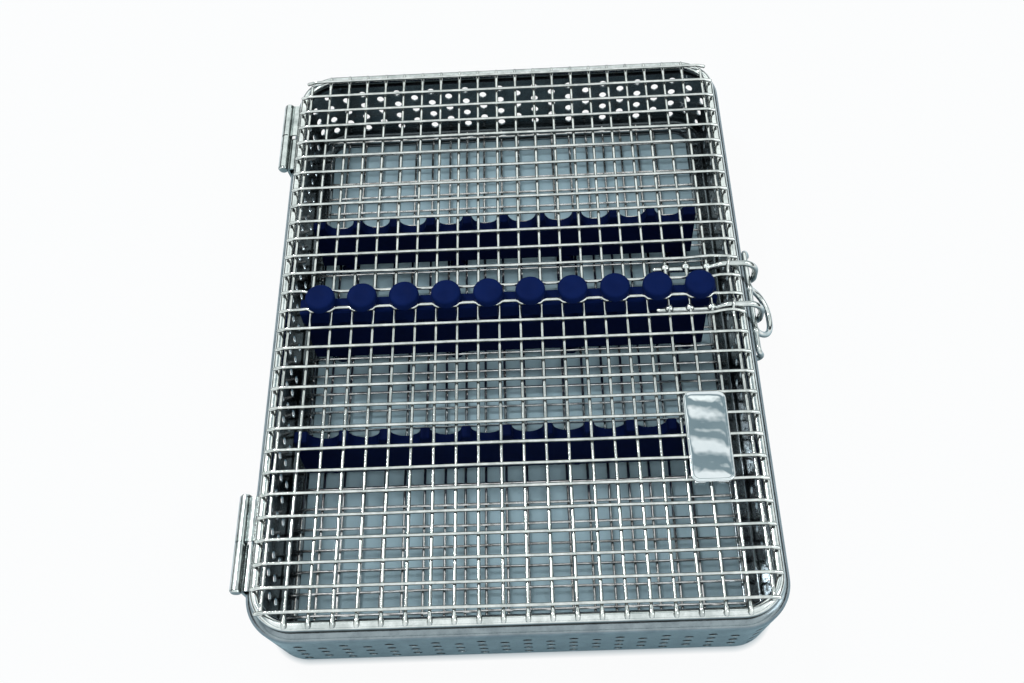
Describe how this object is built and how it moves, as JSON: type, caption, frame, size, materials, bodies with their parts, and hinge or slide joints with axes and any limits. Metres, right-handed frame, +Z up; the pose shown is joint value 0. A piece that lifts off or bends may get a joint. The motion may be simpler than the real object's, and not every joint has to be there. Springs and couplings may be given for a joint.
{
  "type": "dental instrument cassette",
  "caption": "Perforated steel tray with a wire mesh floor, silicone instrument rails and a hinged wire mesh lid with a swinging wire latch.",
  "frame": {"origin": "on the rest plane, under the middle of the tray", "axes": "+Z up, +Y along the tray away from the label, +X from the hinges to the latch"},
  "size_m": [0.1581, 0.2028, 0.0352],
  "materials": {
    "tray_steel": "polished",
    "wire_steel": "polished",
    "hinge_steel": "satin",
    "latch_steel": "polished",
    "label_steel": "satin",
    "navy_silicone": "satin"
  },
  "bodies": {
    "tray": {"tray_pan": "tray_steel", "floor_wires_long": "wire_steel", "floor_wires_cross": "wire_steel", "rail_front": "navy_silicone", "rail_middle": "navy_silicone", "rail_back": "navy_silicone", "hinge_tray_knuckle_front": "hinge_steel", "hinge_tray_knuckle_back": "hinge_steel", "hinge_pin_front": "hinge_steel", "hinge_pin_back": "hinge_steel"},
    "lid": {"lid_frame": "wire_steel", "lid_wires_long": "wire_steel", "lid_wires_cross": "wire_steel", "hold_down_bar": "navy_silicone", "label_plate": "label_steel", "hinge_lid_knuckle_front": "hinge_steel", "hinge_lid_knuckle_back": "hinge_steel", "latch_arm_front": "latch_steel", "latch_arm_back": "latch_steel"},
    "latch": {"latch_bar": "latch_steel", "latch_loop": "latch_steel"}
  },
  "joints": [
    {"name": "lid_hinge", "type": "hinge", "parent": "tray", "child": "lid", "pos_m": [-0.0752, 0, 0.0273], "axis": [0, -1, 0], "range_deg": [0, 180]},
    {"name": "latch_swing", "type": "hinge", "parent": "lid", "child": "latch", "pos_m": [0.0742, 0.0026, 0.0232], "axis": [0, -1, 0], "range_deg": [-25, 90]}
  ]
}
